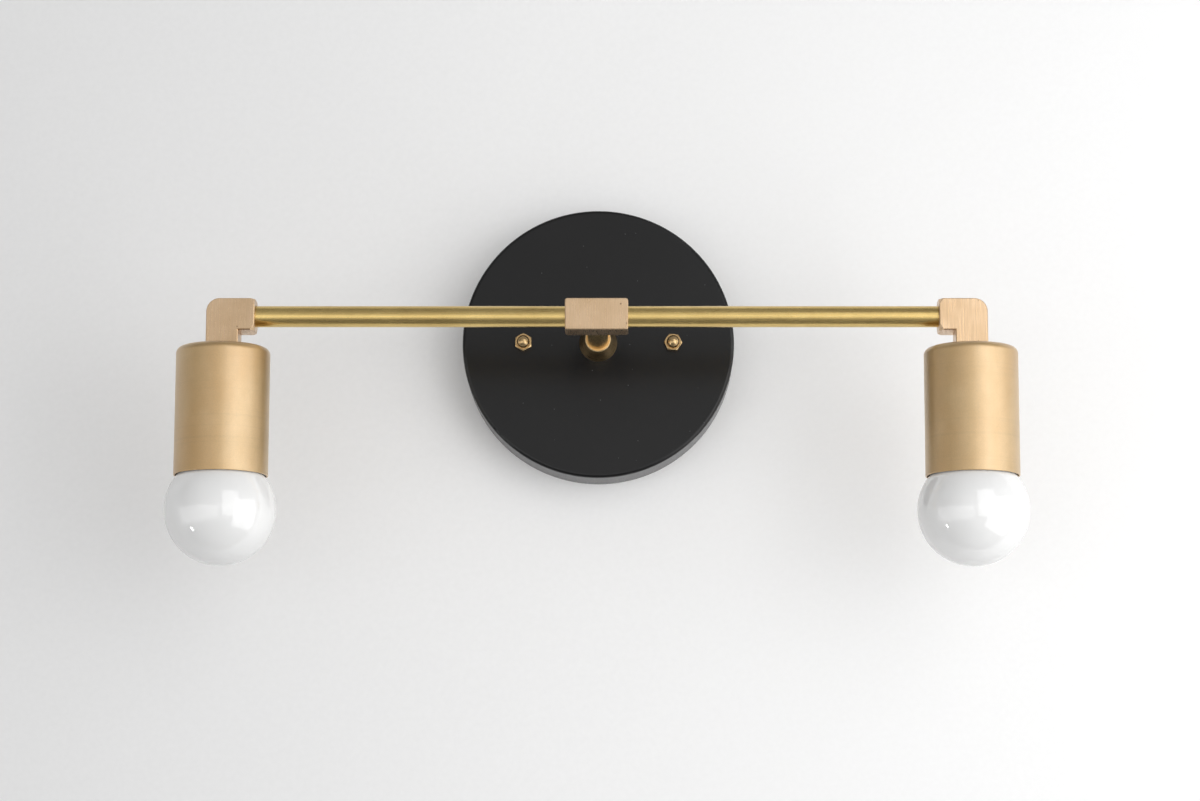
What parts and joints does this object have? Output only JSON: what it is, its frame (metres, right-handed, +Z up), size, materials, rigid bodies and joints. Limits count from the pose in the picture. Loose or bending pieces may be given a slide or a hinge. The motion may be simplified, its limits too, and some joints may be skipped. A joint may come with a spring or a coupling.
{
  "type": "vanity wall light",
  "caption": "Brass bathroom wall light: round black canopy, stem and cross arms on a square block, elbows and cylindrical cups with opal globe bulbs pointing down.",
  "frame": {"origin": "centre of the mounting strap's back face, midway between its box screw slots, on the wall plane", "axes": "+X along the arms to the right, +Y into the wall, +Z up"},
  "size_m": [0.3832, 0.1121, 0.1755],
  "materials": {
    "black_powder_coat": "matt powder coat",
    "brass_tube": "raw drawn brass",
    "brass_block": "raw brass bar, fine brushed",
    "brass_cup": "satin, brushed round",
    "brass_collar": "raw turned brass",
    "brass_nut": "bright turned brass",
    "brass_hardware": "plain brass",
    "zinc_steel": "zinc plated",
    "green_screw": "green dyed zinc",
    "tinned_lug": "tinned",
    "white_plastic": "moulded",
    "phenolic": "moulded phenolic",
    "opal_glass": "glossy opal",
    "clear_glass": "clear",
    "bulb_base_metal": "rolled thread",
    "bulb_insulator": "black vitrite",
    "filament_phosphor": "phosphor coated",
    "black_insulation": "lead insulation",
    "white_insulation": "lead insulation",
    "green_insulation": "lead insulation"
  },
  "bodies": {
    "fixture": {"canopy": "black_powder_coat", "mounting_strap": "zinc_steel", "canopy_studs": "zinc_steel", "stud_locknuts": "zinc_steel", "ground_screw": "green_screw", "ground_lug": "tinned_lug", "ground_lead": "green_insulation", "terminal_block": "white_plastic", "terminal_clamps": "brass_hardware", "terminal_screws": "zinc_steel", "terminal_fixing_screw": "zinc_steel", "stem_lockwasher": "zinc_steel", "stem_locknut": "zinc_steel", "stem_collar": "brass_collar", "stem_tube": "brass_tube", "tee_block": "brass_block", "arm_tube_left": "brass_tube", "arm_tube_right": "brass_tube", "elbow_left": "brass_block", "elbow_right": "brass_block", "cup_nipple_left": "zinc_steel", "cup_nipple_right": "zinc_steel", "cup_locknut_left": "zinc_steel", "cup_locknut_right": "zinc_steel", "socket_cup_left": "brass_cup", "socket_cup_right": "brass_cup", "holder_cap_left": "phenolic", "holder_cap_right": "phenolic", "cap_screws_left": "zinc_steel", "cap_screws_right": "zinc_steel", "holder_body_left": "phenolic", "holder_body_right": "phenolic", "holder_rivets_left": "brass_hardware", "holder_rivets_right": "brass_hardware", "screw_shell_left": "brass_hardware", "screw_shell_right": "brass_hardware", "centre_contact_left": "brass_hardware", "centre_contact_right": "brass_hardware", "live_lead_left": "black_insulation", "live_lead_right": "black_insulation", "neutral_lead_left": "white_insulation", "neutral_lead_right": "white_insulation"},
    "bulb_left_travel": {"bulb_tip_left": "brass_hardware", "bulb_insulator_left": "bulb_insulator"},
    "bulb_left_turn": {"bulb_globe_left": "opal_glass", "bulb_shell_left": "bulb_base_metal", "filament_mount_left": "clear_glass", "led_filaments_left": "filament_phosphor"},
    "cap_nut_left_travel": {"cap_nut_dome_left": "brass_nut"},
    "cap_nut_left_turn": {"cap_nut_hex_left": "brass_nut"},
    "bulb_right_travel": {"bulb_tip_right": "brass_hardware", "bulb_insulator_right": "bulb_insulator"},
    "bulb_right_turn": {"bulb_globe_right": "opal_glass", "bulb_shell_right": "bulb_base_metal", "filament_mount_right": "clear_glass", "led_filaments_right": "filament_phosphor"},
    "cap_nut_right_travel": {"cap_nut_dome_right": "brass_nut"},
    "cap_nut_right_turn": {"cap_nut_hex_right": "brass_nut"}
  },
  "joints": [
    {"name": "bulb_left_travel", "type": "slide", "parent": "fixture", "child": "bulb_left_travel", "axis": [0, 0, -1], "range_m": [0, 0.01271]},
    {"name": "bulb_left_turn", "type": "hinge", "parent": "bulb_left_travel", "child": "bulb_left_turn", "pos_m": [-0.16685, -0.08735, -0.0525], "axis": [0, 0, -1], "range_deg": [0, 1260]},
    {"name": "cap_nut_left_travel", "type": "slide", "parent": "fixture", "child": "cap_nut_left_travel", "axis": [0, -1, 0], "range_m": [0, 0.00397]},
    {"name": "cap_nut_left_turn", "type": "hinge", "parent": "cap_nut_left_travel", "child": "cap_nut_left_turn", "pos_m": [-0.03492, -0.0239, 0], "axis": [0, -1, 0], "range_deg": [0, 1801]},
    {"name": "bulb_right_travel", "type": "slide", "parent": "fixture", "child": "bulb_right_travel", "axis": [0, 0, -1], "range_m": [0, 0.01271]},
    {"name": "bulb_right_turn", "type": "hinge", "parent": "bulb_right_travel", "child": "bulb_right_turn", "pos_m": [0.16685, -0.08735, -0.0525], "axis": [0, 0, -1], "range_deg": [0, 1260]},
    {"name": "cap_nut_right_travel", "type": "slide", "parent": "fixture", "child": "cap_nut_right_travel", "axis": [0, -1, 0], "range_m": [0, 0.00397]},
    {"name": "cap_nut_right_turn", "type": "hinge", "parent": "cap_nut_right_travel", "child": "cap_nut_right_turn", "pos_m": [0.03492, -0.0239, 0], "axis": [0, -1, 0], "range_deg": [0, 1801]}
  ],
  "couplings": [
    {"joint": "bulb_left_travel", "follows": "bulb_left_turn", "m_per_rad": 0.00057757},
    {"joint": "cap_nut_left_turn", "follows": "cap_nut_left_travel", "rad_per_m": 7915.8},
    {"joint": "bulb_right_travel", "follows": "bulb_right_turn", "m_per_rad": 0.00057757},
    {"joint": "cap_nut_right_turn", "follows": "cap_nut_right_travel", "rad_per_m": 7915.8}
  ]
}
